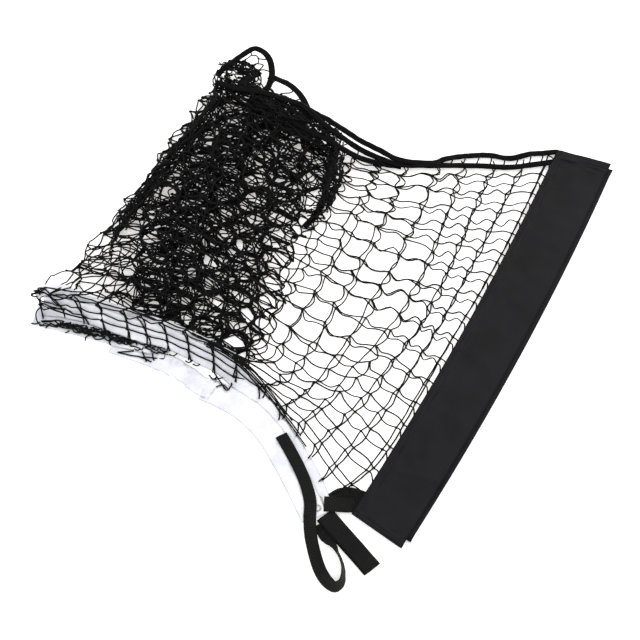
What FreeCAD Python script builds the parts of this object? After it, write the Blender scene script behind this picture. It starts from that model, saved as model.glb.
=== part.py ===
"""A portable junior tennis net, folded in half and gathered for storage on a floor.

The two pole sleeves lie one on the other at the right. Two layers of netting run from them to
the pile at the left, where the rest of the net is folded to and fro. The white headband runs
along the front and the black bottom tape along the back. All sizes are in millimetres, +Z is
up, and the origin is on the floor at the middle of the whole outline.
"""

import FreeCAD, Part
import math
import os

# Driving dimensions
SLEEVE_LENGTH = 780.0  # along the seam, which is also the net's height
SLEEVE_WIDTH = 96.0
SLEEVE_SKEW = 16.0  # each end of a sleeve is cut this much longer at its outer edge
SLEEVE_BOW = 12.0  # the sleeve lies in a gentle bend, this far off a straight line
POCKET_GAP = 4.6  # room for the pole between the two sleeve panels
COATED_CLOTH = 0.9
SEAM_BINDING_WIDTH = 9.0
SLEEVE_B_SHIFT = 7.0  # how far the lower sleeve shows past the upper one
SLEEVE_B_SHORTER = 18.0
LAYER_GAP = 0.5  # clear space between things that lie on each other
NET_LAYER = 2.4
SIDE_CORD_OFFSET = 25.0  # from the sleeve's seam to the first upright cord of the net
HEADBAND_WIDTH = 44.0
HEADBAND_THICKNESS = 2.4
HEADBAND_LIFT = 0.6
TAPE_WIDTH = 11.0
TAPE_THICKNESS = 1.6
STRAP_THICKNESS = 1.6
LONG_STRAP_WIDTH = 20.0
TAIL_STRAP_WIDTH = 29.0
CONNECTOR_WIDTH = 26.0
EYELET_BORE = 7.0
EYELET_FLANGE = 13.0
EYELET_WALL = 0.8
PILE_HEIGHT = 45.0
PILE_SHOULDER = 14.0

# The upper sleeve's seam runs from its band end to its tape end
SEAM_START = FreeCAD.Vector(36, -377, 0)
SEAM_END = FreeCAD.Vector(401, 313, 0)
ALONG = (SEAM_END - SEAM_START).normalize()
ACROSS = FreeCAD.Vector(ALONG.y, -ALONG.x, 0)
UP = FreeCAD.Vector(0, 0, 1)

SLEEVE_THICKNESS = POCKET_GAP + 2 * COATED_CLOTH
SLEEVE_B_Z = 0.0
SLEEVE_A_Z = SLEEVE_THICKNESS + LAYER_GAP
LOWER_NET_Z = 0.0
UPPER_NET_Z = NET_LAYER + 0.6
BAND_B_Z = HEADBAND_LIFT + HEADBAND_THICKNESS / 2
BAND_A_Z = BAND_B_Z + HEADBAND_THICKNESS + 1.1
STRAP_ON_BAND_Z = BAND_A_Z + HEADBAND_THICKNESS / 2 + 0.9 + STRAP_THICKNESS / 2

# Routes are lists of (x, y, z, tilt): the middle of a flat strip, and the angle in degrees
# by which its left edge, seen along the route, is lifted.
TOP_RUN = [
    (-468, -8, 22, 45),
    (-420, -18, 22, 45),
    (-370, -34, 22, 45),
    (-315, -55, 22, 45),
    (-262, -72, 22, 45),
    (-212, -96, 20, 45),
    (-168, -118, 17, 40),
    (-116, -134, 12.4, 30),
    (-110, -160, 5.0, 10),
    (-110, -186, BAND_B_Z, 0),
    (-79, -226, BAND_B_Z, 0),
    (-48, -277, BAND_B_Z, 0),
    (-24, -329, BAND_B_Z, 0),
    (-11, -360, BAND_B_Z, 0),
]
BAND_A_RUN = [
    (-194, -158, 4.2, 0),
    (-160, -178, 6.4, 0),
    (-128, -196, 8.6, 0),
    (-91, -238, BAND_A_Z, 0),
    (-65, -284, BAND_A_Z, 0),
    (-46, -327, BAND_A_Z, 0),
    (-21, -382, BAND_A_Z, 0),
]
LOWER_RUN = [(-484, -14, 4.2, 0), (-424, -30, 4.2, 0), (-350, -53, 4.2, 0), (-285, -70, 4.2, 0)]
THIRD_RUN = [(-352, -66, 1.2, 0), (-310, -82, 1.2, 0), (-266, -100, 1.2, 0)]
INNER_RUNS = [
    (-455, 4, 11.5, 0),
    (-412, -6, 11.5, 0),
    (-362, -22, 11.5, 0),
    (-307, -42, 11.5, 0),
    (-256, -61, 11.5, 0),
    (-205, -86, 11.5, 0),
]
INNER_RUNS_WIDTH = 26.0
INNER_RUNS_HEIGHT = 7.0
CRUMPLED_OUTLINE = [
    (-270, -108), (-238, -116), (-206, -128), (-196, -152), (-208, -172), (-240, -160), (-264, -136)
]
CRUMPLED_HEIGHT = 8.0
LEFT_FOLD_OUTLINE = [(-486, 8), (-452, 34), (-424, 20), (-446, 4), (-466, 12)]

PILE_FLOOR = [
    (-452, 44),
    (-388, 106),
    (-331, 211),
    (-259, 350),
    (-206, 440),
    (-140, 411),
    (-64, 382),
    (-12, 300),
    (-12, 222),
    (-60, 140),
    (-84, 40),
    (-112, -52),
    (-150, -92),
    (-188, -66),
    (-246, -38),
    (-300, -18),
    (-354, 2),
    (-404, 18),
]
PILE_TOP = [
    (-404, 36),
    (-356, 96),
    (-296, 188),
    (-226, 322),
    (-186, 410),
    (-136, 394),
    (-72, 366),
    (-28, 292),
    (-28, 228),
    (-74, 142),
    (-98, 42),
    (-124, -44),
    (-150, -86),
    (-190, -78),
    (-247, -49),
    (-301, -29),
    (-356, -9),
    (-398, 8),
]
NET_PILE_SIDE = [(24, 284), (16, 208), (-24, 158), (-52, 92), (-66, 20), (-92, -50), (-100, -112)]
NET_BAND_SIDE = [(-86, -162), (-54, -208), (-22, -262), (4, -318)]
NET_TAPE_SIDE = [(348, 262), (232, 268), (140, 266), (80, 274)]

UPPER_TAPE = [
    (384, 305, 4.2, 0),
    (339, 303, 4.2, 0),
    (273, 305, 5, 0),
    (227, 303, 7, 0),
    (185, 291, 10, 0),
    (116, 294, 12, 0),
    (76, 303, 16, 0),
    (60, 324, 20, 0),
    (36, 342, 26, 0),
]
LOWER_TAPE = [
    (374, 284, 3.5, 0), (326, 280, 3.5, 0), (232, 284, 3.5, 0), (140, 280, 3.5, 0), (98, 284, 4, 0)
]
TAPE_LOOPS = {
    "bottom_tape_loop_1": [
        (-178, 470, 32, 0),
        (-152, 492, 36, 20),
        (-132, 508, 38, 30),
        (-113, 502, 38, 45),
        (-101, 482, 38, 50),
        (-97, 452, 36, 50),
        (-104, 424, 33, 45),
    ],
    "bottom_tape_loop_2": [(-86, 446, 36, 20), (-62, 430, 38, 30), (-44, 406, 36, 30), (-32, 376, 33, 20)],
    "bottom_tape_loop_3": [(-22, 372, 33, 10), (4, 358, 34, 20), (24, 348, 31, 20)],
    "bottom_tape_low_strand": [
        (-188, 448, 20, 0),
        (-138, 431, 24, 0),
        (-98, 416, 24, 0),
        (-52, 392, 24, 0),
        (-20, 352, 22, 0),
        (6, 308, 18, 0),
    ],
    "bottom_tape_curl": [
        (12, 292, 10, 60), (8, 246, 8, 70), (-2, 214, 7, 70), (-22, 190, 7, 70), (-38, 172, 7, 60)
    ],
}

LONG_STRAP_FREE_END = [
    (-75, -240, STRAP_ON_BAND_Z, 0),
    (-62, -264, STRAP_ON_BAND_Z, 0),
    (-48, -293, STRAP_ON_BAND_Z, 0),
    (-38, -317, STRAP_ON_BAND_Z, 0),
    (-31, -340, STRAP_ON_BAND_Z, 0),
    (-28, -360, STRAP_ON_BAND_Z, 0),
    (-29, -380, STRAP_ON_BAND_Z, 0),
]
LONG_STRAP_LOOP = [
    (-29, -382.5, STRAP_ON_BAND_Z, 0),
    (-28, -406, 6.5, 0),
    (-23, -434, 3.2, 0),
    (-15, -463, 3.4, 8),
    (-5, -484, 7.0, 26),
    (8, -497, 9.4, 48),
    (19, -492, 10.6, 62),
    (23, -475, 11.2, 70),
    (20, -456, 11.0, 70),
    (11, -437, 10.2, 62),
    (3, -424, 5.9, 30),
    (-1, -416, 2.3, 8),
    (-6, -408, 1.2, 0),
    (-12, -395, 1.2, 0),
]
TAIL_STRAP_ROUTE = [(-1, -381), (22, -410), (45, -438), (68, -467)]
CONNECTOR_A_ROUTE = [(3, -356.5, 4.2, 0), (17, -357, 4.0, 0), (30.5, -357.4, 3.8, 0)]
CONNECTOR_B_ROUTE = [(13, -350, 1.4, 0), (29, -345, 1.4, 0), (46, -347, 1.4, 0)]
EYELET_A_AT = (-17, -366)
EYELET_B_AT = (-15, -350)


def save(shape, node):
    """Write one piece to its own STEP file."""
    shape.exportStep(os.path.join("parts", node + ".step"))


def strip(route, width, thickness):
    """A flat strip along a route: a ruled solid through one rectangle at each station."""
    middles = [FreeCAD.Vector(x, y, z) for x, y, z, tilt in route]
    sections = []
    for index, (x, y, z, tilt) in enumerate(route):
        before = middles[max(index - 1, 0)]
        after = middles[min(index + 1, len(middles) - 1)]
        forward = after - before
        forward.z = 0
        forward.normalize()
        left = FreeCAD.Vector(-forward.y, forward.x, 0)
        lean = math.radians(tilt)
        wide = left * math.cos(lean) + UP * math.sin(lean)
        thick = UP * math.cos(lean) - left * math.sin(lean)
        corners = []
        for side, level in ((-1, -1), (1, -1), (1, 1), (-1, 1)):
            corners.append(middles[index] + wide * (side * width / 2) + thick * (level * thickness / 2))
        sections.append(Part.makePolygon(corners + corners[:1]))
    return Part.makeLoft(sections, True, True)


def slab(outline, bottom, height):
    """A flat plate with straight edges between the points of its outline."""
    corners = [FreeCAD.Vector(x, y, bottom) for x, y in outline]
    face = Part.Face(Part.makePolygon(corners + corners[:1]))
    return face.extrude(UP * height)


def sleeve_point(along, across, bottom, start, length):
    """A point of a sleeve, by its distance along the seam and across from it."""
    share = along / length
    bow = 4 * SLEEVE_BOW * share * (1 - share)
    return start + ALONG * along + ACROSS * (across + bow) + UP * bottom


def sleeve_strip(start, length, inner, outer, bottom, height):
    """The part of a sleeve between two distances from its seam, with bowed long edges."""
    def skew(across):
        return SLEEVE_SKEW * across / SLEEVE_WIDTH

    def edge(across, first, last):
        middle = (first + last) / 2
        points = [sleeve_point(a, across, bottom, start, length) for a in (first, middle, last)]
        return Part.Arc(*points).toShape(), points[0], points[2]

    inner_edge, inner_low, inner_high = edge(inner, -skew(inner), length + skew(inner))
    outer_edge, outer_low, outer_high = edge(outer, -skew(outer), length + skew(outer))
    top = Part.LineSegment(inner_high, outer_high).toShape()
    end = Part.LineSegment(outer_low, inner_low).toShape()
    wire = Part.Wire([inner_edge, top, outer_edge, end])
    return Part.Face(wire).extrude(UP * height)


def make_sleeve(name, start, length, bottom):
    """One pole sleeve: two cloth panels joined by a fold outside and a bound seam inside."""
    front_bottom = bottom + COATED_CLOTH + POCKET_GAP
    fold_inner = SLEEVE_WIDTH - COATED_CLOTH
    front = sleeve_strip(start, length, 0, SLEEVE_WIDTH, front_bottom, COATED_CLOTH)
    back = sleeve_strip(start, length, 0, SLEEVE_WIDTH, bottom, COATED_CLOTH)
    fold = sleeve_strip(start, length, fold_inner, SLEEVE_WIDTH, bottom + COATED_CLOTH, POCKET_GAP)
    binding = sleeve_strip(start, length, 0, SEAM_BINDING_WIDTH, bottom + COATED_CLOTH, POCKET_GAP)
    save(front, name + "_front_panel")
    save(back, name + "_back_panel")
    save(fold, name + "_outer_fold")
    save(binding, name + "_seam_binding")


def eyelet(at, band_z):
    """A turned metal eyelet: a tube through the band with a flange on each face."""
    bore = EYELET_BORE / 2
    tube = bore + EYELET_WALL
    flange = EYELET_FLANGE / 2
    half = HEADBAND_THICKNESS / 2
    lip = 0.5
    profile = [
        (bore, -half - lip),
        (flange, -half - lip),
        (flange, -half),
        (tube, -half),
        (tube, half),
        (flange, half),
        (flange, half + lip),
        (bore, half + lip),
    ]
    corners = [FreeCAD.Vector(r, 0, z) for r, z in profile]
    face = Part.Face(Part.makePolygon(corners + corners[:1]))
    ring = face.revolve(FreeCAD.Vector(0, 0, 0), UP, 360)
    ring.translate(FreeCAD.Vector(at[0], at[1], band_z))
    return ring


def punched(band, at, band_z):
    """A headband with the hole that its eyelet sits in."""
    tube = EYELET_BORE / 2 + EYELET_WALL
    base = FreeCAD.Vector(at[0], at[1], band_z - HEADBAND_THICKNESS)
    return band.cut(Part.makeCylinder(tube, 2 * HEADBAND_THICKNESS, base))


def net_outline():
    """The two-layer netting between the sleeves, the pile, the headband and the bottom tape."""
    sleeve_side = []
    for along in (66, 200, 400, 600, 714):
        point = sleeve_point(along, -SIDE_CORD_OFFSET, 0, SEAM_START, SLEEVE_LENGTH)
        sleeve_side.append((point.x, point.y))
    return sleeve_side + NET_TAPE_SIDE + NET_PILE_SIDE + NET_BAND_SIDE


def pile():
    """The gathered netting: a low mound, thin at its left edge."""
    shoulder = []
    for low, high in zip(PILE_FLOOR, PILE_TOP):
        shoulder.append((low[0] * 0.8 + high[0] * 0.2, low[1] * 0.8 + high[1] * 0.2))
    wires = []
    for outline, z in ((PILE_FLOOR, 0), (shoulder, PILE_SHOULDER), (PILE_TOP, PILE_HEIGHT)):
        corners = [FreeCAD.Vector(x, y, z) for x, y in outline]
        wires.append(Part.makePolygon(corners + corners[:1]))
    return Part.makeLoft(wires, True, True)


def make_netting():
    save(slab(net_outline(), LOWER_NET_Z, NET_LAYER), "netting_lower_layer")
    save(slab(net_outline(), UPPER_NET_Z, NET_LAYER), "netting_upper_layer")
    save(pile(), "netting_gathered_pile")


def make_headband():
    band_b = strip(TOP_RUN, HEADBAND_WIDTH, HEADBAND_THICKNESS)
    band_a = strip(BAND_A_RUN, HEADBAND_WIDTH, HEADBAND_THICKNESS)
    save(punched(band_b, EYELET_B_AT, BAND_B_Z), "headband_top_run_b")
    save(punched(band_a, EYELET_A_AT, BAND_A_Z), "headband_end_run_a")
    save(strip(LOWER_RUN, HEADBAND_WIDTH, HEADBAND_THICKNESS), "headband_lower_run")
    save(strip(THIRD_RUN, HEADBAND_WIDTH, HEADBAND_THICKNESS), "headband_third_run")
    save(strip(INNER_RUNS, INNER_RUNS_WIDTH, INNER_RUNS_HEIGHT), "headband_inner_runs")
    save(slab(CRUMPLED_OUTLINE, 3.0, CRUMPLED_HEIGHT), "headband_crumpled_fold")
    save(slab(LEFT_FOLD_OUTLINE, 39.0, HEADBAND_THICKNESS), "headband_left_fold")
    save(eyelet(EYELET_A_AT, BAND_A_Z), "eyelet_a")
    save(eyelet(EYELET_B_AT, BAND_B_Z), "eyelet_b")


def make_bottom_tape():
    save(strip(UPPER_TAPE, TAPE_WIDTH, TAPE_THICKNESS), "bottom_tape_upper")
    save(strip(LOWER_TAPE, TAPE_WIDTH, TAPE_THICKNESS), "bottom_tape_lower")
    for node, route in TAPE_LOOPS.items():
        save(strip(route, TAPE_WIDTH, TAPE_THICKNESS), node)


def make_straps():
    tail_lower_z = 2.4 + STRAP_THICKNESS / 2
    tail_upper_z = tail_lower_z + STRAP_THICKNESS + LAYER_GAP
    tail_lower = [(x, y, tail_lower_z, 0) for x, y in TAIL_STRAP_ROUTE]
    tail_upper = [(x, y, tail_upper_z, 0) for x, y in TAIL_STRAP_ROUTE]
    save(strip(tail_lower, TAIL_STRAP_WIDTH, STRAP_THICKNESS), "tail_strap_lower")
    save(strip(tail_upper, TAIL_STRAP_WIDTH, STRAP_THICKNESS), "tail_strap_upper")
    save(strip(LONG_STRAP_FREE_END, LONG_STRAP_WIDTH, STRAP_THICKNESS), "long_strap_free_end")
    save(strip(LONG_STRAP_LOOP, LONG_STRAP_WIDTH, STRAP_THICKNESS), "long_strap_loop")
    save(strip(CONNECTOR_A_ROUTE, CONNECTOR_WIDTH, STRAP_THICKNESS), "connector_strap_a")
    save(strip(CONNECTOR_B_ROUTE, CONNECTOR_WIDTH - 6, STRAP_THICKNESS), "connector_strap_b")


os.makedirs("parts", exist_ok=True)
sleeve_b_start = SEAM_START + ALONG * SLEEVE_B_SHORTER + ACROSS * SLEEVE_B_SHIFT
make_sleeve("sleeve_a", SEAM_START, SLEEVE_LENGTH, SLEEVE_A_Z)
make_sleeve("sleeve_b", sleeve_b_start, SLEEVE_LENGTH - SLEEVE_B_SHORTER - 6, SLEEVE_B_Z)
make_netting()
make_headband()
make_bottom_tape()
make_straps()
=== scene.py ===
"""Looks of a folded portable tennis net: knotted twine, headband, tape, sleeves and straps.

Lengths are in metres. The net is one grid of knots, about 4.6 m long and 0.75 m high, folded
in half and then to and fro. Its upper half starts at sleeve a and its lower half at sleeve b.
"""
import itertools
import math

import bpy
import numpy as np
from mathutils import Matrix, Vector


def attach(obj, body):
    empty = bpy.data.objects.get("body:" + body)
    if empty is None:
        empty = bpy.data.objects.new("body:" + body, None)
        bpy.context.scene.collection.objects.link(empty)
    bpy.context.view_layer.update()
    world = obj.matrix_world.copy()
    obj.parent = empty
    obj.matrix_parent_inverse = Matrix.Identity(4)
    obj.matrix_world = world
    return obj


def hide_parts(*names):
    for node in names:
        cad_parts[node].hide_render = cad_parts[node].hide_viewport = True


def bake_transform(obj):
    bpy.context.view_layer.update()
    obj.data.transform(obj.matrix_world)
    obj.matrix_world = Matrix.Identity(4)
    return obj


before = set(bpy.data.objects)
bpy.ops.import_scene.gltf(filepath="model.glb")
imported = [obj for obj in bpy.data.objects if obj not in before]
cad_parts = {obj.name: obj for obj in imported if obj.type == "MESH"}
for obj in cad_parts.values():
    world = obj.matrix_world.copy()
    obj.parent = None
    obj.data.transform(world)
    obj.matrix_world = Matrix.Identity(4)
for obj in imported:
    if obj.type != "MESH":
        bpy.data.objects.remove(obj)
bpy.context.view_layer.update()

MM = 0.001
CELL = 0.044  # knot to knot along a twine
ROWS = 17  # cells over the net's height
FIRST_RUN = 15  # cells in the run that lies between a sleeve and the pile's far edge
COLUMNS = 104  # knots lengthwise between the two that lie at the sleeves
TWINE = 0.00124  # radius
SAMPLES = 9  # curve steps between two knots
ROUTE_STEPS = 12  # curve steps between two points of a route
LAYER_HEIGHTS = (0.0052, 0.0018)  # of the upper and the lower half's knots on the open floor
KNOT_DRIFT = 0.0052  # how far knots stray together
KNOT_JITTER = 0.0027  # how far each strays alone
SIDES = 6  # of a twine's cross-section
TWIST_PITCH = 0.0045  # of the yarns in a twine
YARNS = 3
SEAM_START = np.array([0.036, -0.377, 0])
SEAM_END = np.array([0.401, 0.313, 0])
SLEEVE_LENGTH = 0.780
SLEEVE_WIDTH = 0.096
SLEEVE_SKEW = 0.016
SLEEVE_BOW = 0.012
HEADBAND_WIDTH = 0.044
TOP_RUN_WIDTH = 0.036  # its lower edge is folded under
TAB_WIDTH = 0.022
CRUMPLE_WIDTH = 0.034
HEADBAND_THICKNESS = 0.0018
TAPE_WIDTH = 0.0115
TAPE_THICKNESS = 0.0016
STRAP_THICKNESS = 0.0016
TAIL_WIDTH = 0.029
LONG_STRAP_WIDTH = 0.020
SLEEVE_CLOTH_THICKNESS = 0.0009
SEAM_LINES = (0.005, 0.0125)  # rows of stitches beside the sleeve's seam
BAND_HEM = (0.006, 0.012)  # and across its ends
TAPE_HEM = (0.007, 0.013, 0.020, 0.027)
SEWN_REACH = 0.0010
STITCH = 0.0034
THREAD_RADIUS = 0.00032
PILE_TOP = 0.040
PILE_DIP = 0.62  # how much lower the pile lies where it is thinly folded
BUNCH_WAVES = [0.050, 0.038, 0.030, 0.024, 0.020, 0.017]  # lengths of the gathered net's drift
BUNCH_REACH = 0.115

ALONG = (SEAM_END - SEAM_START) / np.linalg.norm(SEAM_END - SEAM_START)
ACROSS = np.array([ALONG[1], -ALONG[0], 0])
UP = np.array([0, 0, 1.0])
SEAM_B_START = SEAM_START + ALONG * 0.018 + ACROSS * 0.007
SLEEVE_B_LENGTH = SLEEVE_LENGTH - 0.024

# Routes are (x, y, z, tilt) in millimetres and degrees
TOP_RUN = [
    (-468, -8, 22, 68), (-420, -18, 22, 56), (-370, -34, 22, 48), (-315, -55, 22, 45),
    (-262, -72, 22, 45), (-212, -96, 20, 45), (-170, -119, 16, 38), (-140, -145, 11, 26),
    (-114, -176, 5, 10), (-90, -210, 2.2, 0), (-70, -240, 1.9, 0), (-47, -277, 1.9, 0),
    (-24, -325, 1.9, 0), (-11, -360, 1.9, 0),
]
END_RUN = [
    (-200, -154, 4.0, 0), (-166, -172, 5.6, 0), (-128, -198, 6.0, 0), (-93, -238, 5.3, 0),
    (-67, -284, 5.3, 0), (-46, -327, 5.3, 0), (-21, -382, 5.3, 0),
]
CRUMPLE = [
    (-284, -98, 3, 0), (-258, -112, 6, 8), (-232, -128, 7, -8), (-208, -148, 6, 6), (-186, -160, 3, 0),
]
LOWER_RUN = [(-484, -14, 4.2, 0), (-424, -30, 4.2, 0), (-350, -53, 4.2, 0), (-285, -70, 4.2, 0)]
THIRD_RUN = [(-352, -66, 1.4, 0), (-310, -82, 1.4, 0), (-266, -100, 1.4, 0)]
INNER_RUN = [
    (-470, 2, 13, 20), (-412, -8, 14, 24), (-362, -24, 14, 24), (-307, -44, 14, 22),
    (-256, -63, 13, 20), (-205, -88, 12, 12), (-160, -112, 9, 6),
]
LEFT_TAB = [(-482, 6, 34, 6), (-462, 14, 36, -8), (-436, 14, 35, -14), (-418, 2, 34, -20)]

# Uprights of the net's top layer, from the side cord leftwards: hook on the headband, first
# knot, knots further along it, end on the tape
UPRIGHTS = [
    [
        (6, -341), (26, -329), (59, -301), (89, -260), (140, -172), (196, -74), (253, 28), (312, 142),
        (381, 286),
    ],
    [(-15, -321), (2, -297), (104, -167), (191, -14), (338, 276)],
    [(-32, -281), (-21, -257), (78, -146), (162, -1), (287, 274)],
    [(-51, -242), (-47, -219), (46, -120), (130, 15), (237, 274)],
    [(-79, -212), (-77, -189), (7, -104), (84, 36), (193, 278)],
    [(-111, -177), (-112, -155), (-42, -96), (40, 61), (136, 277)],
    [(-150, -147), (-146, -130), (-85, -81), (-14, 53), (87, 282)],
    [(-186, -124), (-177, -111), (-118, -60), (-52, 78), (46, 298)],
    [(-225, -101), (-211, -89), (13, 324)], [(-260, -83), (-251, -73), (-12, 348)],
    [(-295, -74), (-281, -58), (-36, 372)], [(-329, -68), (-324, -43), (-62, 392)],
    [(-367, -53), (-361, -29), (-89, 408)], [(-404, -40), (-395, -17), (-117, 420)],
    [(-439, -32), (-431, -5), (-374, 118), (-240, 356), (-148, 430)],
    [(-472, -24), (-462, 2), (-444, 46), (-398, 118), (-338, 224), (-262, 362), (-192, 456)],
]
TAPE_CROWD = [1.0, 1.0, 1.03, 1.06, 1.12, 1.22, 1.3, 1.3] + [1.1] * 8  # of the knots at the tape
BAND_CROWD = [0, 0, 0.01, 0.02, 0.05, 0.07, 0.07, 0.05] + [0] * 8  # of the knots at the headband
TAPE_GAP = [20, 20, 20, 20, 9, 4, 12, 12] + [8] * 8  # to the lower layer's tape

TOP_TAPE = [
    (398, 290, 7), (355, 283, 7), (317, 278, 7), (261, 281, 7), (207, 281, 8), (172, 281, 8),
    (128, 282, 9), (93, 292, 12), (57, 306, 21), (24, 324, 33), (-4, 344, 39), (-26, 366, 41),
    (-44, 385, 42), (-80, 400, 42), (-117, 414, 42), (-161, 422, 42), (-196, 436, 41),
]
FAR_TAPE = [
    (402, 312, 5), (376, 309, 5), (352, 307, 5), (317, 298, 5), (280, 305, 5), (244, 303, 5),
    (208, 297, 6), (181, 287, 7), (128, 290, 10), (88, 310, 15), (57, 324, 22), (32, 338, 30),
    (4, 356, 36), (-16, 367, 38), (-34, 378, 40), (-46, 386, 36),
]
TAPE_LOOPS = {
    "bottom_tape_loop_a": [
        (-196, 458, 30), (-186, 470, 33), (-176, 479, 34), (-156, 496, 36), (-133, 514, 36),
        (-116, 509, 36), (-103, 491, 36), (-98, 462, 36), (-101, 440, 36), (-109, 423, 34),
        (-122, 410, 31),
    ],
    "bottom_tape_loop_b": [
        (-104, 455, 33), (-84, 444, 36), (-64, 430, 38), (-47, 409, 38), (-35, 382, 37),
        (-30, 358, 34),
    ],
    "bottom_tape_cross": [
        (-137, 404, 38), (-92, 376, 41), (-47, 341, 41), (-3, 316, 39), (20, 302, 34), (54, 288, 22),
        (88, 284, 11), (128, 280, 6),
    ],
    "bottom_tape_curl": [
        (6, 326, 30), (12, 302, 24), (6, 258, 20), (-1, 232, 19), (-8, 202, 18), (-18, 176, 16),
        (-40, 150, 13),
    ],
}
# Twines drawn along the headband: from and to (m along it), and share of its width
EDGE_CORDS = [
    (0.10, 0.335, 1.04), (0.12, 0.335, 1.12), (0.15, 0.35, 1.20), (0.20, 0.33, 0.96), (0.24, 0.36, 1.26),
]

# Rolled and bunched netting: route, half width, rise, number of twines
BUNDLES = {
    "netting_roll_corner": ([
        (20, 318, 24), (16, 300, 24), (13, 265, 24), (4, 226, 24), (-4, 204, 24), (-16, 186, 22),
        (-36, 176, 20),
    ], 0.013, 0.018, 34),
    "netting_roll_cross": ([
        (-196, 446, 28), (-160, 422, 30), (-126, 402, 32), (-92, 380, 34), (-47, 346, 34), (-3, 318, 30),
        (19, 300, 24),
    ], 0.017, 0.012, 46),
    "netting_roll_side": ([
        (-189, 468, 24), (-186, 436, 26), (-203, 388, 24), (-228, 344, 24), (-260, 295, 20), (-291, 250, 18),
        (-330, 184, 14), (-366, 124, 10),
    ], 0.014, 0.013, 46),
    "netting_roll_tape": ([
        (-184, 444, 32), (-146, 430, 34), (-108, 414, 34), (-75, 397, 34), (-40, 376, 34),
        (-10, 350, 32), (20, 322, 28),
    ], 0.010, 0.009, 30),
    "netting_roll_top": ([
        (-190, 476, 26), (-168, 480, 28), (-144, 472, 28), (-132, 452, 28), (-150, 434, 26), (-184, 430, 24),
    ], 0.014, 0.010, 30),
    "netting_in_headband": ([
        (-474, -32, 6), (-440, -36, 8), (-396, -48, 8), (-350, -62, 7), (-306, -74, 6), (-262, -86, 5),
    ], 0.006, 0.005, 16),
}

# The pile's outline: outer edge, edge beside the open netting, headband end and tape end
PILE_OUTER = [
    (-462, 4), (-440, 44), (-400, 108), (-350, 192), (-303, 276), (-259, 358), (-226, 420), (-204, 462),
]
PILE_INNER = [
    (-146, -108), (-121, -81), (-100, -34), (-83, 20), (-60, 74), (-45, 146), (-16, 190), (4, 232), (14, 300),
]
PILE_BAND = [(-462, -5), (-416, -15), (-349, -37), (-272, -65), (-204, -95), (-146, -117)]
PILE_TAPE = [(-204, 462), (-150, 438), (-80, 406), (-30, 368), (18, 316)]
DENSE = 0.22  # share of the pile's width where the thickly folded part starts

# Ends of twine that lie free on the headband's folds
LOOSE_ENDS = [
    [
        (-136, 512, 31), (-135, 505, 29), (-128, 505, 29), (-123, 499, 29), (-123, 490, 28),
        (-129, 484, 28), (-139, 473, 27),
    ],
    [(-176, 480, 31), (-163, 487, 29), (-154, 491, 29), (-143, 498, 29), (-135, 505, 30)],
    [(-145, 478, 28), (-146, 497, 29)], [(-125, 498, 29), (-111, 495, 30), (-101, 493, 33)],
    [
        (-139, 474, 27), (-132, 484, 28), (-125, 487, 28), (-114, 484, 28), (-122, 474, 27),
        (-136, 472, 27), (-141, 467, 26),
    ],
    [(-130, 442, 28), (-131, 465, 28), (-125, 470, 28), (-114, 472, 30), (-103, 466, 33)],
    [(-139, 463, 27), (-136, 456, 27), (-133, 442, 28), (-124, 444, 28), (-117, 442, 28), (-112, 430, 31)],
    [(-109, 424, 34), (-101, 435, 34), (-90, 446, 35)],
    [(-108, 418, 34), (-95, 420, 32), (-86, 413, 32), (-81, 418, 32), (-64, 420, 32), (-60, 426, 35)],
    [(-64, 392, 36), (-52, 403, 34), (-42, 403, 35)],
    [(-190, 470, 26), (-199, 463, 24), (-203, 454, 24), (-200, 444, 24), (-192, 440, 26)],
    [(-477, -3, 31), (-472, 1, 32), (-462, 3, 32)],
    [(-470, -14, 28), (-478, -21, 25), (-480, -27, 21), (-478, -35, 14), (-472, -40, 9)],
    [(-489, -34, 7), (-482, -36, 8), (-474, -33, 9)],
    [(-465, -43, 5), (-461, -38, 7)], [(-432, -52, 5), (-425, -48, 7)],
    [(-398, -66, 5), (-397, -60, 6.6), (-389, -56, 7)],
    [(-356, -75, 5), (-358, -71, 6.6), (-356, -66, 7), (-351, -65, 7)],
    [(-344, -87, 3), (-320, -93, 3.4), (-303, -97, 3.6), (-269, -116, 4)], [(-344, -87, 4), (-319, -85, 4)],
    [(-319, -86, 4), (-316, -76, 4), (-306, -72, 4)], [(-304, -85, 4.5), (-296, -105, 4.5)],
    [(-303, -97, 5), (-293, -97, 5), (-269, -100, 5), (-266, -93, 5)],
    [(-287, -89, 4), (-284, -102, 4), (-277, -110, 4)],
    [(-300, -81, 7), (-287, -76, 7), (-272, -78, 8), (-262, -84, 8), (-265, -88, 7), (-270, -91, 6)],
    [(-259, -93, 8), (-252, -96, 8), (-242, -89, 9)], [(-232, -106, 9), (-226, -109, 9), (-218, -103, 9)],
    [(-220, -112, 9), (-212, -115, 9), (-205, -109, 9)], [(-193, -132, 9), (-186, -139, 8), (-180, -135, 8)],
    [(-185, -127, 9), (-173, -146, 8), (-164, -160, 9), (-157, -152, 8), (-156, -146, 8)],
    [(-183, -141, 10), (-170, -137, 9)], [(-181, -154, 9), (-170, -150, 9), (-162, -157, 9)],
]
rng = np.random.default_rng(7)


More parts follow.
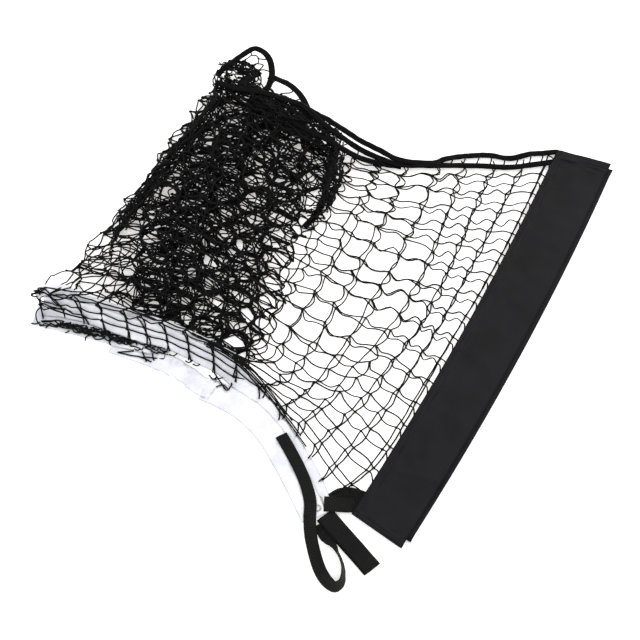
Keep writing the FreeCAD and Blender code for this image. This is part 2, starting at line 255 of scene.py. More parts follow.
def curve_through(points, steps):
    """Catmull-Rom curves through points, shape (..., n, k) to (..., (n-1)*steps+1, k)."""
    points = np.asarray(points, float)
    before = 2 * points[..., :1, :] - points[..., 1:2, :]
    after = 2 * points[..., -1:, :] - points[..., -2:-1, :]
    padded = np.concatenate([before, points, after], axis=-2)
    p0 = padded[..., :-3, None, :]
    p1 = padded[..., 1:-2, None, :]
    p2 = padded[..., 2:-1, None, :]
    p3 = padded[..., 3:, None, :]
    t = (np.arange(steps) / steps)[:, None]
    body = 0.5 * (
        2 * p1 + (p2 - p0) * t + (2 * p0 - 5 * p1 + 4 * p2 - p3) * t**2
        + (3 * p1 - p0 - 3 * p2 + p3) * t**3
    )
    body = body.reshape(points.shape[:-2] + (-1, points.shape[-1]))
    return np.concatenate([body, points[..., -1:, :]], axis=-2)


def unit(vectors):
    """Vectors along the last axis, at unit length."""
    return vectors / np.maximum(np.linalg.norm(vectors, axis=-1, keepdims=True), 1e-12)


def travelled(line):
    """Distance along a line, or along several, to each of its points."""
    steps = np.linalg.norm(np.diff(line[..., :3], axis=-2), axis=-1)
    return np.concatenate([np.zeros(steps.shape[:-1] + (1,)), np.cumsum(steps, -1)], -1)


def sampled(line, wanted):
    """Points of a line at given distances along it."""
    gone = travelled(line)
    return np.stack([np.interp(wanted, gone, line[:, k]) for k in range(line.shape[1])], -1)


def at_distances(route, distances):
    """Points of a smooth route at given distances from its start, past its end in a line."""
    line = curve_through(route, ROUTE_STEPS)
    gone = travelled(line)
    found = sampled(line, distances)
    past = np.maximum(np.asarray(distances) - gone[-1], 0)[:, None]
    found[:, :3] += past * unit(line[-1, :3] - line[-2, :3])
    return found


def at_shares(route, shares):
    """Points of a smooth route at given shares of its length."""
    line = curve_through(route, ROUTE_STEPS)
    return sampled(line, np.asarray(shares) * travelled(line)[-1])


def metres(route):
    """A route in millimetres, with an optional tilt in degrees, as metres and radians."""
    route = np.array(route, float)
    route[:, :3] *= MM
    if route.shape[1] > 3:
        route[:, 3] = np.radians(route[:, 3])
    return route


def soft_noise(shape, passes, seed):
    """Random numbers of unit spread over a grid, smoothed over their neighbours."""
    values = np.random.default_rng(seed).normal(size=shape)
    for _ in range(passes):
        for axis in range(2):
            size = values.shape[axis]
            low = np.take(values, [0] + list(range(size - 1)), axis)
            high = np.take(values, list(range(1, size)) + [size - 1], axis)
            values = 0.25 * low + 0.5 * values + 0.25 * high
    return values / max(values.std(), 1e-9)


def smoothstep(low, high, value):
    share = np.clip((value - low) / (high - low), 0, 1)
    return share * share * (3 - 2 * share)


def new_object(name, material, vertices, faces, uvs=None):
    """A smooth mesh object from vertices and faces, with one UV per corner of each face."""
    mesh = bpy.data.meshes.new(name)
    mesh.from_pydata(vertices.tolist(), [], faces if isinstance(faces, list) else faces.tolist())
    if uvs is not None:
        layer = mesh.uv_layers.new(name="surface")
        layer.data.foreach_set("uv", np.asarray(uvs, float).ravel())
    mesh.polygons.foreach_set("use_smooth", [True] * len(mesh.polygons))
    mesh.materials.append(material)
    mesh.update()
    made = bpy.data.objects.new(name, mesh)
    bpy.context.collection.objects.link(made)
    return made


def frames(lines):
    """Two twist-free side vectors along lines of shape (paths, points, 3)."""
    tangents = unit(np.gradient(lines, axis=1))
    side = np.cross(tangents[:, 0], UP)
    weak = np.linalg.norm(side, axis=1) < 1e-3
    side[weak] = [1, 0, 0]
    sides = np.empty_like(lines)
    for k in range(lines.shape[1]):
        side = unit(side - (side * tangents[:, k]).sum(1, keepdims=True) * tangents[:, k])
        sides[:, k] = side
    return sides, np.cross(sides, tangents)


def walls(count, ring, gone, low, high, inward=False):
    """Quads and UVs between neighbouring rings of points along each path. There are count rings
    of ring points, gone is each one's distance along its path, and low and high are each quad's
    UV places around it."""
    k = np.arange(ring)
    base = (np.arange(len(gone))[:, None, None] * count + np.arange(count - 1)[:, None]) * ring
    after = (k + 1) % ring
    quads = [base + k, base + after, base + ring + after, base + ring + k]
    u0, u1, v0, v1 = np.broadcast_arrays(gone[:, :-1, None], gone[:, 1:, None], low, high)
    uvs = [np.stack(pair, -1) for pair in ((u0, v0), (u0, v1), (u1, v1), (u1, v0))]
    if inward:
        quads, uvs = [quads[0], *quads[:0:-1]], [uvs[0], *uvs[:0:-1]]
    return np.stack(quads, -1).reshape(-1, 4), np.stack(uvs, -2).reshape(-1, 2)


def end_caps(paths, count, ring, inward=False):
    """Quads across the first and the last ring of points on each path."""
    caps = []
    for path in range(paths):
        for ring_at, turned in ((path * count, not inward), ((path + 1) * count - 1, inward)):
            corner = ring_at * ring
            for m in range(ring // 2 - 1):
                quad = [corner + m, corner + m + 1, corner + ring - 2 - m, corner + ring - 1 - m]
                caps.append(quad[::-1] if turned else quad)
    return np.array(caps)


def tubes(lines, radius, sides=SIDES):
    """Closed round tubes along lines of shape (paths, points, 3): vertices, quads and UVs."""
    paths, count = lines.shape[:2]
    first, second = frames(lines)
    angles = np.arange(sides) * 2 * np.pi / sides
    ring = first[:, :, None] * np.cos(angles)[:, None] + second[:, :, None] * np.sin(angles)[:, None]
    vertices = (lines[:, :, None] + radius * ring).reshape(-1, 3)
    around = np.arange(sides) / sides
    quads, uvs = walls(count, sides, travelled(lines), around, around + 1 / sides)
    ends = end_caps(paths, count, sides)
    uvs = np.concatenate([uvs, np.zeros((len(ends) * 4, 2))])
    return vertices, np.concatenate([quads, ends]), uvs


def joined(parts):
    """Several (vertices, faces, uvs) as one."""
    vertices, faces, uvs, count = [], [], [], 0
    for v, f, uv in parts:
        vertices.append(v)
        faces.append(f + count)
        uvs.append(uv)
        count += len(v)
    return np.concatenate(vertices), np.concatenate(faces), np.concatenate(uvs)


def knot_blobs(centres, size, seed):
    """A small lumpy knot at each centre, as quads from a subdivided cube."""
    cuts = 2  # squares along each edge of the cube
    corners, cube_faces = {}, []
    for axis, sign, a, b in itertools.product(range(3), (-1, 1), range(cuts), range(cuts)):
        quad = []
        for da, db in ((0, 0), (1, 0), (1, 1), (0, 1)):
            corner = np.roll([sign, 2 * (a + da) / cuts - 1, 2 * (b + db) / cuts - 1], axis)
            quad.append(corners.setdefault(tuple(corner), len(corners)))
        cube_faces.append(quad[::sign])
    ball = unit(np.array(list(corners)))
    random = np.random.default_rng(seed)
    scale = size * random.uniform(0.85, 1.2, (len(centres), 1, 3)) * [1.15, 1.15, 0.85]
    lump = 1 + 0.16 * random.normal(size=(len(centres), len(ball), 1))
    vertices = centres[:, None] + ball[None] * scale * lump
    faces = np.array(cube_faces) + np.arange(len(centres))[:, None, None] * len(ball)
    faces = faces.reshape(-1, 4)
    return vertices.reshape(-1, 3), faces, np.zeros((len(faces) * 4, 2))


# Where the net lies

def mound_height(x, y):
    """Height of the pile over the floor, from how far inside its outline a point is."""
    outline = np.array(PILE_OUTER[1:] + PILE_TAPE[1:-1] + PILE_INNER[::-1]) * MM
    inside = np.zeros(x.shape, bool)
    nearest = np.full(x.shape, 1e9)
    for (x0, y0), (x1, y1) in zip(outline, np.roll(outline, -1, axis=0)):
        wide, tall = x1 - x0, y1 - y0
        crossing = (y0 > y) != (y1 > y)
        reach = np.where(crossing, wide * (y - y0) / np.where(tall == 0, 1e-9, tall) + x0, -1e9)
        inside ^= crossing & (x < reach)
        share = np.clip(((x - x0) * wide + (y - y0) * tall) / (wide**2 + tall**2), 0, 1)
        nearest = np.minimum(nearest, np.hypot(x - x0 - share * wide, y - y0 - share * tall))
    depth = np.where(inside, nearest, 0)
    beyond = 0.90 * (x + 0.20) - 0.43 * (y - 0.17)
    thin = smoothstep(-0.03, 0.05, beyond) * (1 - smoothstep(0.26, 0.34, y))
    slope = smoothstep(0, 0.05, depth) * (0.75 + 0.25 * smoothstep(0.02, 0.09, depth))
    return PILE_TOP * (1 - PILE_DIP * thin) * slope


def band_face(distance, share, lift):
    """Points of the top run's face, from its end beside the straps: distance along it and share
    of its width from the outer edge (0) to the edge at the pile (1)."""
    route = metres(TOP_RUN)[::-1]
    found = at_distances(route, distance)
    forward = unit((at_distances(route, distance + 0.004) - found)[:, :2])
    pile_side = np.stack([forward[:, 1], -forward[:, 0], np.zeros(len(forward))], 1)
    tilt = found[:, 3:4]
    wide = pile_side * np.cos(tilt) + UP * np.sin(tilt)
    out = UP * np.cos(tilt) - pile_side * np.sin(tilt)
    share = np.asarray(share, float).reshape(-1, 1)
    return found[:, :3] + wide * (share - 0.5) * TOP_RUN_WIDTH + out * lift


def band_distance(place):
    """Distance along the top run, from its end beside the straps, nearest to a place."""
    trial = np.arange(0, 0.66, 0.002)
    line = band_face(trial, 0.0 * trial, 0)
    return trial[np.argmin(np.hypot(line[:, 0] - place[0], line[:, 1] - place[1]))]


def crowded(shares, at_tape, at_band):
    """Shares of an upright's length, drawn together towards its two ends."""
    return 1 - (1 - shares) ** at_tape - at_band * (1 - np.exp(-shares / 0.08)) * (1 - shares)


def first_run(layer, seed):
    """Knots of the stretch from a sleeve over the open floor, the pile and the headband; layer
    is 0 for the top half of the net and 1 for the half beneath it."""
    knots = np.zeros((FIRST_RUN + 1, ROWS + 1, 3))
    shares = np.arange(ROWS) / (ROWS - 1)
    for i, upright in enumerate(UPRIGHTS):
        route = np.array(upright, float) * MM
        if layer:
            route[-1] += np.array([0.004, TAPE_GAP[i] * MM])
        knots[i, 1:, :2] = at_shares(route[1:], crowded(shares, TAPE_CROWD[i], BAND_CROWD[i]))
        if layer:
            apart = smoothstep(0.1, 0.5, shares)[:, None]
            near = np.array([0.011, 0.004] if i < 9 else [0.006, -0.002])
            far = np.array([0.003, 0.006] if i < 9 else [0.006, -0.002])
            fade = (1 - smoothstep(0.9, 1, shares))[:, None]
            knots[i, 1:, :2] += (near * (1 - apart) + far * apart) * fade
        knots[i, 0, :2] = route[0] + (np.array([0.006, 0.003]) if layer else 0)
    index = np.arange(FIRST_RUN + 1)[:, None]
    row = np.arange(ROWS + 1)[None, :]
    calm = np.clip((index - 0.2) / 3, 0.08, 1) * smoothstep(0.5, 3.5, row)
    calm = calm * (1 - 0.6 * smoothstep(15, 18, row))
    for axis in range(2):
        knots[..., axis] += calm * soft_noise(knots.shape[:2], 3, seed + axis) * KNOT_DRIFT
        knots[..., axis] += calm * soft_noise(knots.shape[:2], 0, seed + 5 + axis) * KNOT_JITTER
    lift = np.abs(soft_noise(knots.shape[:2], 1, seed + 9)) * 0.0008
    over = mound_height(knots[..., 0], knots[..., 1])
    knots[..., 2] = LAYER_HEIGHTS[layer] + lift + over
    knots[:6, 0, 2] = 0.0078 - 0.002 * layer
    knots[:6, 1, 2] = 0.0066 - 0.002 * layer
    over_band = 0.0026 + 0.001 * (1 - layer)
    for i in range(4, 6):
        edge = band_face(np.array([band_distance(knots[i, 0])]), [0.95], over_band)
        knots[i, :2, 2] = edge[0, 2]
    for i in range(6, FIRST_RUN + 1):
        along = band_distance(knots[i, 0])
        distances = along + np.array([0, 0.010, 0.024])
        first = 0.3 if i == 6 else 0.0
        knots[i, :3] = band_face(distances, [first, 0.74 - 0.32 * layer, 1.14 + 0.14 * layer], over_band)
    tape = metres([p + (0,) for p in (FAR_TAPE if layer else TOP_TAPE)])
    ends = knots[:, -1]
    order = np.argsort(tape[:, 0])
    height = np.interp(ends[:, 0], tape[order, 0], tape[order, 2])
    knots[:, -1, 2] = np.maximum(height - 0.0008, over[:, -1] * 0.9)
    return knots


def sleeve_place(along, across, height, start=SEAM_START, length=SLEEVE_LENGTH):
    """A point of a sleeve, by its distance along the seam and across from it."""
    share = np.asarray(along) / length
    bow = 4 * SLEEVE_BOW * share * (1 - share)
    return (
        start + np.multiply.outer(along, ALONG) + np.multiply.outer(across + bow, ACROSS)
        + np.multiply.outer(height, UP)
    )


def pile_place(a, b):
    """A point of the pile's outline patch: a from its outer to its inner edge, b from headband
    to tape."""
    outer, inner = at_shares(np.array(PILE_OUTER) * MM, b), at_shares(np.array(PILE_INNER) * MM, b)
    low, high = at_shares(np.array(PILE_BAND) * MM, a), at_shares(np.array(PILE_TAPE) * MM, a)
    c00, c10 = np.array(PILE_OUTER[0]) * MM, np.array(PILE_INNER[0]) * MM
    c01, c11 = np.array(PILE_OUTER[-1]) * MM, np.array(PILE_INNER[-1]) * MM
    a, b = a[:, None], b[:, None]
    corners = (1 - a) * (1 - b) * c00 + a * (1 - b) * c10 + (1 - a) * b * c01 + a * b * c11
    return (1 - b) * low + b * high + (1 - a) * outer + a * inner - corners


def folded_columns(total):
    """Where each column of the gathered net lies: share of the pile's width, height share and
    number of the fold it belongs to."""
    shares, folds = [], []
    here, heading, fold = 0.02, 1, 0
    while len(shares) < total:
        if heading > 0:
            target = rng.uniform(0.86, 1.0) if rng.uniform() < 0.42 else rng.uniform(0.34, 0.56)
        elif rng.uniform() < 0.38:
            target = rng.uniform(0.0, 0.05)
        else:
            target = DENSE + rng.uniform(-0.04, 0.06)
        cells = max(2, int(round(abs(target - here) * 0.33 / CELL)))
        for step in range(1, cells + 1):
            shares.append(here + (target - here) * step / cells)
            folds.append(fold)
        here, heading, fold = target, -heading, fold + 1
    shares, folds = np.array(shares[:total]), np.array(folds[:total], float)
    level = np.convolve(np.pad(folds, 1, mode="edge"), [0.25, 0.5, 0.25], "valid")
    return shares, 1 - (level + 0.5) / (fold + 0.2), folds


def bunch(curves, share, seed):
    """Moves twines sideways by a drift that all folds share, which closes and opens gaps."""
    random = np.random.default_rng(seed)
    place = curves[..., :2].copy()
    for wave in BUNCH_WAVES:
        turn = random.uniform(0, 2 * np.pi)
        way = np.array([math.cos(turn), math.sin(turn)])
        phase = random.uniform(0, 2 * np.pi)
        swing = np.sin(2 * np.pi * (place @ way) / wave + phase) * wave * BUNCH_REACH * share
        curves[..., :2] += way * swing[..., None]


def gathered(count, seed):
    """The knots of the gathered net, between the two halves' first runs."""
    shares, height, folds = folded_columns(count)
    knots = np.zeros((count, ROWS + 1, 3))
    drift = np.cumsum(np.random.default_rng(seed).normal(size=(count, 2)), 0) * 0.0008
    drift -= drift.mean(0)
    for j in range(ROWS + 1):
        b = j / ROWS
        crowd = 0.014 * np.sin(folds * 2.1 + 5 * b)
        power = 1 - 0.38 * (1 - smoothstep(0, 0.45, b)) - 0.2 * smoothstep(0.75, 1, b)
        knots[:, j, :2] = pile_place(np.clip(shares + crowd, 0, 1) ** power, np.full(count, b)) + drift
    soft_end = 0.35 + 0.65 * smoothstep(0, 0.10, np.arange(ROWS + 1) / ROWS)
    for axis in range(2):
        wave = soft_noise((count, ROWS + 1), 2, seed + axis) * 0.008
        fine = soft_noise((count, ROWS + 1), 0, seed + 7 + axis) * 0.005
        knots[..., axis] += (wave + fine) * soft_end
    top = mound_height(knots[..., 0], knots[..., 1])
    bumps = np.random.default_rng(seed + 20).uniform(-0.001, 0.001, top.shape)
    knots[..., 2] = np.maximum(0.0018, top * height[:, None] * 0.97 + bumps)
    return knots


def slack_curves(knots, seed, first_way, second_way, spread, limit, least=0.0):
    """Curves of about a cell's length between neighbouring knots along axis 1. Where the knots
    are closer than that, the twine swings sideways by its first and its second third."""
    start, end = knots[:, :-1], knots[:, 1:]
    chord = end - start
    gap = np.linalg.norm(chord, axis=2, keepdims=True)
    third = gap / 3
    length = np.maximum(CELL, 1.04 * gap)
    swing = 0.68 * np.sqrt(np.maximum(((length - third) / 2) ** 2 - third**2, 0))
    swing = np.maximum(np.minimum(swing, limit[..., None]), np.asarray(least)[..., None] * gap)
    forward = chord / np.maximum(gap, 1e-9)
    side = unit(np.cross(forward, UP))
    random = np.random.default_rng(seed)
    shape = gap.shape[:2]
    common = soft_noise(shape, 1, seed) * spread
    rise = random.uniform(-0.1, 0.35, shape + (1,))
    points = np.empty((knots.shape[0], 3 * knots.shape[1] - 2, 3))
    points[:, ::3] = knots
    for k, lean in enumerate((first_way, second_way)):
        way = np.clip(lean + common + 0.5 * spread * random.normal(size=shape), -1, 1)[..., None]
        wide = np.where(first_way * second_way < 0, 0.62, 1.0)[..., None]
        flat = swing * np.sqrt(np.maximum(1 - way**2, 0)) * rise
        points[:, k + 1::3] = start + chord * (k + 1) / 3 + swing * wide * way * side + UP * flat
    curves = curve_through(points, SAMPLES // 3)
    curves[..., 2] = np.maximum(curves[..., 2], TWINE)
    return curves


def net_piece(name, knots, uprights, rows, first, last):
    """One stretch of the netting: its upright and lengthwise twines and its knots."""
    lengthwise = rows[1:-1, first * SAMPLES: last * SAMPLES + 1]
    stop = last + 1 if last == len(knots) - 1 else last
    parts = [tubes(uprights[first:stop], TWINE), tubes(lengthwise, TWINE)]
    parts.append(knot_blobs(knots[first:stop, 1:-1].reshape(-1, 3), TWINE * 1.7, first))
    return new_object(name, TWINE_BLACK, *joined(parts))


# Materials

def shader(name, colour, roughness, **sockets):
    """A principled material; constants go straight onto the shader's sockets."""
    material = bpy.data.materials.new(name)
    material.use_nodes = True
    bsdf = material.node_tree.nodes["Principled BSDF"]
    bsdf.inputs["Base Color"].default_value = (*colour, 1)
    bsdf.inputs["Roughness"].default_value = roughness
    for key, value in sockets.items():
        bsdf.inputs[key.replace("_", " ")].default_value = value
    return material, bsdf, material.node_tree


def node(tree, kind, **values):
    made = tree.nodes.new(kind)
    for key, value in values.items():
        if key in made.inputs:
            made.inputs[key].default_value = value
        else:
            setattr(made, key.lower().replace(" ", "_"), value)
    return made


def mottled(tree, bsdf, dark, light, scale):
    """Base colour that drifts between two shades over the piece."""
    place = node(tree, "ShaderNodeTexCoord")
    noise = node(tree, "ShaderNodeTexNoise", Scale=scale, Detail=3.0, Roughness=0.6)
    ramp = node(tree, "ShaderNodeValToRGB")
    ramp.color_ramp.elements[0].color = (*dark, 1)
    ramp.color_ramp.elements[1].color = (*light, 1)
    ramp.color_ramp.elements[0].position = 0.3
    ramp.color_ramp.elements[1].position = 0.7
    tree.links.new(place.outputs["Object"], noise.inputs["Vector"])
    tree.links.new(noise.outputs["Fac"], ramp.inputs["Fac"])
    tree.links.new(ramp.outputs["Color"], bsdf.inputs["Base Color"])
    return noise


def surface_uv(tree):
    """The two surface UVs, as sockets: metres along a piece, and its place around or across."""
    uv = node(tree, "ShaderNodeUVMap", uv_map="surface")
    split = node(tree, "ShaderNodeSeparateXYZ")
    tree.links.new(uv.outputs["UV"], split.inputs["Vector"])
    return split.outputs["X"], split.outputs["Y"]


def maths(tree, operation, *inputs):
    """The result of a maths node that takes numbers and other nodes' results."""
    made = node(tree, "ShaderNodeMath", operation=operation)
    for socket, value in zip(made.inputs, inputs):
        if isinstance(value, float):
            socket.default_value = value
        else:
            tree.links.new(value, socket)
    return made.outputs[0]


def uv_waves(tree, pitch_u, pitch_v, mix):
    """Bump height from threads crossing at two pitches."""
    waves = [
        maths(tree, "SINE", maths(tree, "MULTIPLY", place, 2 * math.pi / pitch))
        for place, pitch in zip(surface_uv(tree), (pitch_u, pitch_v))
    ]
    return maths(tree, "MULTIPLY_ADD", waves[1], mix, waves[0])


def bumped(tree, bsdf, height, strength, distance):
    bump = node(tree, "ShaderNodeBump", Strength=strength, Distance=distance)
    tree.links.new(height, bump.inputs["Height"])
    tree.links.new(bump.outputs["Normal"], bsdf.inputs["Normal"])


def twine_material():
    """Matt black twine of yarns twisted together."""
    material, bsdf, tree = shader("net_twine", (0.003, 0.003, 0.0033), 0.75, Specular_IOR_Level=0.12)
    mottled(tree, bsdf, (0.0015, 0.0015, 0.0018), (0.005, 0.005, 0.0055), 60)
    along, around = surface_uv(tree)
    turns = maths(tree, "MULTIPLY", along, 2 * math.pi / TWIST_PITCH)
    yarns = maths(tree, "SINE", maths(tree, "MULTIPLY_ADD", around, 2 * math.pi * YARNS, turns))
    bumped(tree, bsdf, yarns, 0.6, 0.0006)
    return material


def cloth_material(name, dark, light, roughness, pitch, strength, drift=9, **sockets):
    """Woven cloth: two crossing threads as bump, and colour that drifts slowly."""
    material, bsdf, tree = shader(name, light, roughness, **sockets)
    mottled(tree, bsdf, dark, light, drift)
    weave = uv_waves(tree, pitch, pitch * 1.1, 1.0)
    bumped(tree, bsdf, weave, strength, 0.0003)
    return material


def webbing_material():
    """Ribbed webbing: strong ribs across the width and fine ones along it."""
    material, bsdf, tree = shader("webbing", (0.006, 0.0056, 0.005), 0.6, Specular_IOR_Level=0.20)
    mottled(tree, bsdf, (0.0022, 0.0020, 0.0018), (0.0075, 0.0070, 0.0062), 45)
    weave = uv_waves(tree, 0.0026, 0.0030, 0.30)
    bumped(tree, bsdf, weave, 1.0, 0.0020)
    return material


TWINE_BLACK = twine_material()
# The headband cloth is white; the lilac-grey darker end of its drifting colour is painted shade.
WHITE_CLOTH_PAINTED_SHADE = cloth_material(
    "headband_cloth", (0.60, 0.60, 0.67), (0.76, 0.76, 0.79), 0.7, 0.0011, 0.35, 30
)
# The sleeve cloth is charcoal; the lighter patches of its drifting colour are painted sheen.
SLEEVE_CLOTH_PAINTED_SHEEN = cloth_material(
    "sleeve_cloth", (0.0040, 0.0039, 0.0047), (0.0068, 0.0066, 0.0078), 0.50, 0.0008, 0.22, 14,
    Specular_IOR_Level=0.09,
)
TAPE_BLACK = cloth_material(
    "bottom_tape", (0.0010, 0.0010, 0.0012), (0.0022, 0.0022, 0.0025), 0.38, 0.0011, 0.4,
    Specular_IOR_Level=0.035,
)
WEBBING = webbing_material()
THREAD = cloth_material("stitch_thread", (0.006, 0.006, 0.007), (0.016, 0.016, 0.018), 0.6, 0.0007, 0.5)


# Cloth strips

def strip(name, route, width, thickness, material, seed, wrinkle, across, per):
    """A flat strip of cloth or webbing with rounded edges, along (x, y, z, tilt) stations."""
    route = metres(route)
    if route.shape[1] == 3:
        route = np.hstack([route, np.zeros((len(route), 1))])
    line = curve_through(route, per)
    middle, tilt = line[:, :3], line[:, 3:4]
    forward = unit(np.gradient(middle, axis=0))
    flat = unit(forward * [1, 1, 0])
    left = np.stack([-flat[:, 1], flat[:, 0], np.zeros(len(flat))], 1)
    wide = left * np.cos(tilt) + UP * np.sin(tilt)
    wide = unit(wide - (wide * forward).sum(1, keepdims=True) * forward)
    thick = np.cross(forward, wide)
    shares = np.linspace(-1, 1, across)
    bulge = np.sqrt(np.clip(1 - np.abs(shares) ** 14, 0, 1))
    upper = np.stack([shares * width / 2, bulge * thickness / 2], 1)
    lower = upper[::-1] * [1, -1]
    profile = np.vstack([upper, lower[1:-1]])
    noise = soft_noise((len(line), across), 3, seed + 1) * wrinkle
    noise += soft_noise((len(line), across), 1, seed + 2) * wrinkle * 0.25
    lift = np.hstack([noise, noise[:, ::-1][:, 1:-1]])
    points = (
        middle[:, None] + wide[:, None] * profile[None, :, :1]
        + thick[:, None] * (profile[None, :, 1] + lift)[..., None]
    )
    points[..., 2] = np.maximum(points[..., 2], 0)
    count, ring = points.shape[:2]
    place = profile[:, 0]
    quads, uvs = walls(count, ring, travelled(middle)[None], place, np.roll(place, -1))
    ends = []
    for corner, turn in ((0, -1), ((count - 1) * ring, 1)):
        low, last = corner + across - 1, corner + ring
        caps = [[corner + m, corner + m + 1, last - m - 1, last - m] for m in range(1, across - 2)]
        caps += [[corner, corner + 1, last - 1], [low, low + 1, low - 1]]
        ends += [cap[::turn] for cap in caps]
    uvs = np.concatenate([uvs, np.zeros((sum(map(len, ends)), 2))])
    return new_object(name, material, points.reshape(-1, 3), quads.tolist() + ends, uvs)


# Sleeves

def refined(length, even, lines):
    """Even steps over a length, with closer ones beside each sewn line."""
    beside = [line + step * SEWN_REACH for line in lines for step in (-1.6, -0.8, 0, 0.8, 1.6)]
    return np.unique(np.clip(np.concatenate([np.linspace(0, length, even), beside]), 0, length))


def sewn(distances, lines):
    """How far the cloth is drawn in (0 to 1) at distances from its edge."""
    return sum(np.exp(-((distances - line) / SEWN_REACH) ** 2) for line in lines)


def stitches(line):
    """Short stitches of thread along a line of points on the cloth."""
    middles = np.arange(STITCH / 2, travelled(line)[-1] - STITCH / 2, STITCH)
    points = []
    for shift, rise in ((-0.36, -0.0002), (0, 0.0003), (0.36, -0.0002)):
        points.append(sampled(line, middles + shift * STITCH) + UP * rise)
    return tubes(np.stack(points, 1), THREAD_RADIUS, 4)


def make_sleeve(name, start, length, bottom, seed):
    """A pole sleeve: one cloth folded at its outer edge, hollow, hemmed and sewn at both ends."""
    width = SLEEVE_WIDTH - 0.0015
    hems = BAND_HEM + tuple(length - line for line in TAPE_HEM)
    along, across = refined(length, 170, hems)[:, None], refined(width, 22, SEAM_LINES)[None, :]
    stations, half = along.size, across.size
    rise = np.sin(np.pi * across / width) ** 0.5
    grid = (stations, half)
    fine = soft_noise(grid, 5, seed) * 0.00045 + soft_noise(grid, 14, seed + 1) * 0.0006
    pucker = soft_noise(grid, 1, seed + 2) * 0.00022 * np.exp(-((across - 0.008) / 0.009) ** 2)
    crease = np.exp(-((along - 0.095 - 0.3 * across) / 0.004) ** 2) * smoothstep(0.01, 0.03, across)
    hem = 1 - smoothstep(0.012, 0.014, along) + smoothstep(length - 0.029, length - 0.027, along)
    seam = 1 - smoothstep(0.0135, 0.015, across)
    drawn = np.maximum(sewn(along, hems), sewn(across, SEAM_LINES))
    swell = 0.0008 * (0.35 + 0.65 * rise) * (1 - smoothstep(0.86, 1.0, across / width))
    relief = fine * rise + pucker + 0.0011 * crease + 0.0005 * np.maximum(hem, seam) - 0.0007 * drawn
    top = bottom + 0.0032 + swell + relief
    low = bottom + 0.0022 - swell * 0.6 + 0 * along

    def layer(height):
        skew = SLEEVE_SKEW * across / SLEEVE_WIDTH
        run = along / length * (length + 2 * skew) - skew
        share = np.clip(run / length, 0, 1)
        bow = 4 * SLEEVE_BOW * share * (1 - share)
        return start + run[..., None] * ALONG + (across + bow)[..., None] * ACROSS + height[..., None] * UP

    half_cloth = SLEEVE_CLOTH_THICKNESS / 2
    face = layer(top + half_cloth)
    points = np.concatenate([
        face, layer(low - half_cloth)[:, ::-1], layer(low + half_cloth), layer(top - half_cloth)[:, ::-1],
    ], axis=1)
    count, ring = points.shape[:2]
    wide = across[0]
    place = np.concatenate([wide, 2 * width - wide[::-1], 2 * width - wide, wide[::-1]])
    quads, uvs = walls(count, ring, along.T, place, np.roll(place, -1), inward=True)
    ends = end_caps(1, count, ring, inward=True)
    faces = np.concatenate([quads, ends])
    uvs = np.concatenate([uvs, np.zeros((len(ends) * 4, 2))])
    cloth = new_object(name + "_cloth", SLEEVE_CLOTH_PAINTED_SHEEN, points.reshape(-1, 3), faces, uvs)
    rows = [stitches(face[:, np.argmin(np.abs(wide - line))]) for line in SEAM_LINES]
    rows += [stitches(face[np.argmin(np.abs(along[:, 0] - line)), 1:-2]) for line in hems]
    return cloth, new_object(name + "_stitching", THREAD, *joined(rows))


def ride(body, slot, *pieces):
    for piece in pieces:
        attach(piece, body)


def make_net():
    """The whole net as one grid of knots, cut into pieces of a few thousand twines."""
    upper, lower = first_run(0, 100), first_run(1, 140)
    middle = gathered(COLUMNS - 2 * FIRST_RUN, 300)
    knots = np.concatenate([upper, middle, lower[::-1]])
    total = len(knots)
    column = np.minimum(np.arange(total), total - 1 - np.arange(total))[:, None]
    open_part = column <= FIRST_RUN
    row = np.arange(ROWS)[None, :]
    spread = np.where(open_part, 0.35, 0.9)
    limit = np.where(open_part & (row < 2), 0.002, 0.0012 + 0.03 * smoothstep(0, 5, column))
    lean = np.where(open_part, 0.7, 0.0) + 0.0 * row
    uprights = slack_curves(knots, 500, lean, lean, spread, limit)
    mirror = np.where(np.arange(total - 1) > total // 2, -1, 1)[None, :]
    between = column[:-1].T
    open_part = between < FIRST_RUN
    row = np.arange(ROWS + 1)[:, None]
    wave = 0.9 * (1 - smoothstep(3, 7, between)) * smoothstep(4, 8, row)
    sag = -0.45 * (1 - wave)
    first_way = np.where(open_part, wave + sag, 0.0) * mirror
    second_way = np.where(open_part, sag - wave, 0.0) * mirror
    first_way, second_way = np.where(mirror < 0, (second_way, first_way), (first_way, second_way))
    limit = np.where(open_part & (row < 2), 0.0012, 0.03)
    spread = np.where(open_part, 0.5, 0.9) + 0.0 * row
    least = 0.19 * smoothstep(3, 7, row) * (1 - smoothstep(4, 9, between))
    least = least + 0.06 * open_part * (row > 2)
    least = least * np.random.default_rng(610).uniform(0.5, 1.45, least.shape)
    rows = slack_curves(np.swapaxes(knots, 0, 1), 600, first_way, second_way, spread, limit, least)
    in_pile = smoothstep(FIRST_RUN - 6, FIRST_RUN + 2, column[:, 0])
    bunch(knots, in_pile[:, None], 330)
    bunch(uprights, in_pile[:, None], 330)
    along_rows = np.arange(rows.shape[1]) / SAMPLES
    bunch(rows, np.interp(along_rows, np.arange(total), in_pile)[None, :], 330)
    cuts = [0, FIRST_RUN, 38, 60, 82, total - FIRST_RUN - 1, total - 1]
    names = ["netting_upper"] + [f"netting_pile_{k}" for k in range(1, 5)] + ["netting_lower"]
    pieces = [
        net_piece(name, knots, uprights, rows, first, last)
        for name, first, last in zip(names, cuts[:-1], cuts[1:])
    ]
    ride("net", "net_twine", *pieces)
    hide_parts("netting_upper_layer")
    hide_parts("netting_lower_layer")
    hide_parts("netting_gathered_pile")
    return knots


def make_loose_ends():
    """Ends of twine that lie free on the headband and inside the tape's loops."""
    parts = [tubes(curve_through(np.array(end) * MM, 5)[None], TWINE) for end in LOOSE_ENDS]
    piece = new_object("loose_twine_ends", TWINE_BLACK, *joined(parts))
    ride("net", "net_twine", piece)


